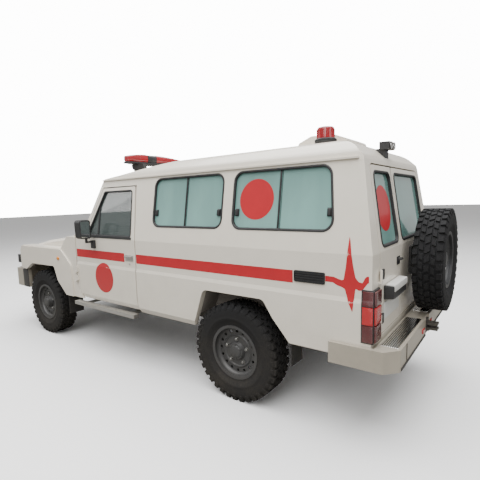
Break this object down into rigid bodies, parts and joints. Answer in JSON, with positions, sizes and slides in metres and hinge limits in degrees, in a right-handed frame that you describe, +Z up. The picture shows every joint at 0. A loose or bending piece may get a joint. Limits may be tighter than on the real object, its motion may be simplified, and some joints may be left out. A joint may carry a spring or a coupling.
{
  "type": "military ambulance truck",
  "caption": "High-roof four-wheel-drive ambulance with a bonnet, a cab, a windowed patient compartment, twin rear doors, a rear spare wheel and red roof lights.",
  "frame": {"origin": "on the ground, under the middle of the whole vehicle", "axes": "-Y is the nose, +X is the vehicle's left side, +Z is up"},
  "size_m": [2.0608, 5.22, 2.18],
  "materials": {
    "tyre": "matte",
    "wheel_steel": "satin",
    "chassis_black": "satin",
    "engine_metal": "matte",
    "body_paint": "gloss",
    "cab_glass": "polished",
    "frosted_glass": "frosted",
    "black_plastic": "satin",
    "lamp_clear": "polished",
    "lamp_red": "gloss",
    "beacon_red": "gloss",
    "step_alloy": "satin",
    "bumper_metal": "satin",
    "rubber": "matte",
    "seat_cover": "matte",
    "cabin_trim": "satin"
  },
  "bodies": {
    "body": {"beacon": "beacon_red", "bench": "cabin_trim", "chassis_frame": "chassis_black", "cowl": "body_paint", "dashboard": "black_plastic", "engine_gearbox": "engine_metal", "exhaust": "engine_metal", "floor_pan": "body_paint", "front_axle": "chassis_black", "front_bumper": "bumper_metal", "front_seats": "seat_cover", "fuel_tank": "chassis_black", "grille": "black_plastic", "headlamps": "lamp_clear", "light_bar": "beacon_red", "mud_flaps": "rubber", "partition": "cabin_trim", "rear_axle": "chassis_black", "rear_bumper": "bumper_metal", "rear_frame": "body_paint", "roof": "body_paint", "roof_mounts": "chassis_black", "roof_vent": "body_paint", "side_glass": "frosted_glass", "side_panels": "body_paint", "side_steps": "step_alloy", "springs": "chassis_black", "steering_wheel": "black_plastic", "stretcher": "cabin_trim", "tail_lamps": "lamp_red", "tow_hook": "chassis_black", "windscreen": "cab_glass", "wings": "body_paint", "work_light": "black_plastic"},
    "bonnet": {"bonnet": "body_paint"},
    "front_door_left": {"front_door_left": "body_paint", "front_glass_left": "cab_glass", "mirror_left": "black_plastic"},
    "front_door_right": {"front_door_right": "body_paint", "front_glass_right": "cab_glass", "mirror_right": "black_plastic"},
    "rear_door_left": {"rear_door_left": "body_paint", "rear_glass_left": "frosted_glass"},
    "rear_door_right": {"rear_door_right": "body_paint", "rear_glass_right": "frosted_glass", "spare_carrier": "chassis_black", "spare_rim": "wheel_steel", "spare_tyre": "tyre"},
    "knuckle_left": {"knuckle_left": "chassis_black"},
    "knuckle_right": {"knuckle_right": "chassis_black"},
    "wheel_front_left": {"rim_front_left": "wheel_steel", "tyre_front_left": "tyre"},
    "wheel_front_right": {"rim_front_right": "wheel_steel", "tyre_front_right": "tyre"},
    "wheel_rear_left": {"rim_rear_left": "wheel_steel", "tyre_rear_left": "tyre"},
    "wheel_rear_right": {"rim_rear_right": "wheel_steel", "tyre_rear_right": "tyre"}
  },
  "joints": [
    {"name": "steering_left", "type": "hinge", "parent": "body", "child": "knuckle_left", "pos_m": [0.662, -1.73, 0.4], "axis": [0, 0, 1], "range_deg": [-30, 30]},
    {"name": "steering_right", "type": "hinge", "parent": "body", "child": "knuckle_right", "pos_m": [-0.662, -1.73, 0.4], "axis": [0, 0, 1], "range_deg": [-30, 30]},
    {"name": "wheel_front_left_spin", "type": "hinge", "parent": "knuckle_left", "child": "wheel_front_left", "pos_m": [0.756, -1.73, 0.4], "axis": [1, 0, 0], "continuous": true},
    {"name": "wheel_front_right_spin", "type": "hinge", "parent": "knuckle_right", "child": "wheel_front_right", "pos_m": [-0.756, -1.73, 0.4], "axis": [1, 0, 0], "continuous": true},
    {"name": "wheel_rear_left_spin", "type": "hinge", "parent": "body", "child": "wheel_rear_left", "pos_m": [0.731, 1.25, 0.4], "axis": [1, 0, 0], "continuous": true},
    {"name": "wheel_rear_right_spin", "type": "hinge", "parent": "body", "child": "wheel_rear_right", "pos_m": [-0.731, 1.25, 0.4], "axis": [1, 0, 0], "continuous": true},
    {"name": "front_door_left_hinge", "type": "hinge", "parent": "body", "child": "front_door_left", "pos_m": [0.859, -0.955, 0.9], "axis": [0, 0, -1], "range_deg": [0, 65]},
    {"name": "front_door_right_hinge", "type": "hinge", "parent": "body", "child": "front_door_right", "pos_m": [-0.859, -0.955, 0.9], "axis": [0, 0, 1], "range_deg": [0, 65]},
    {"name": "rear_door_left_hinge", "type": "hinge", "parent": "body", "child": "rear_door_left", "pos_m": [0.705, 2.35, 0.9], "axis": [0, 0, -1], "range_deg": [0, 90]},
    {"name": "rear_door_right_hinge", "type": "hinge", "parent": "body", "child": "rear_door_right", "pos_m": [-0.705, 2.35, 0.9], "axis": [0, 0, 1], "range_deg": [0, 90]},
    {"name": "bonnet_hinge", "type": "hinge", "parent": "body", "child": "bonnet", "pos_m": [0, -0.999, 1.252], "axis": [-1, 0, 0], "range_deg": [0, 50]}
  ],
  "couplings": [
    {"joint": "steering_right", "follows": "steering_left", "ratio": 1}
  ]
}
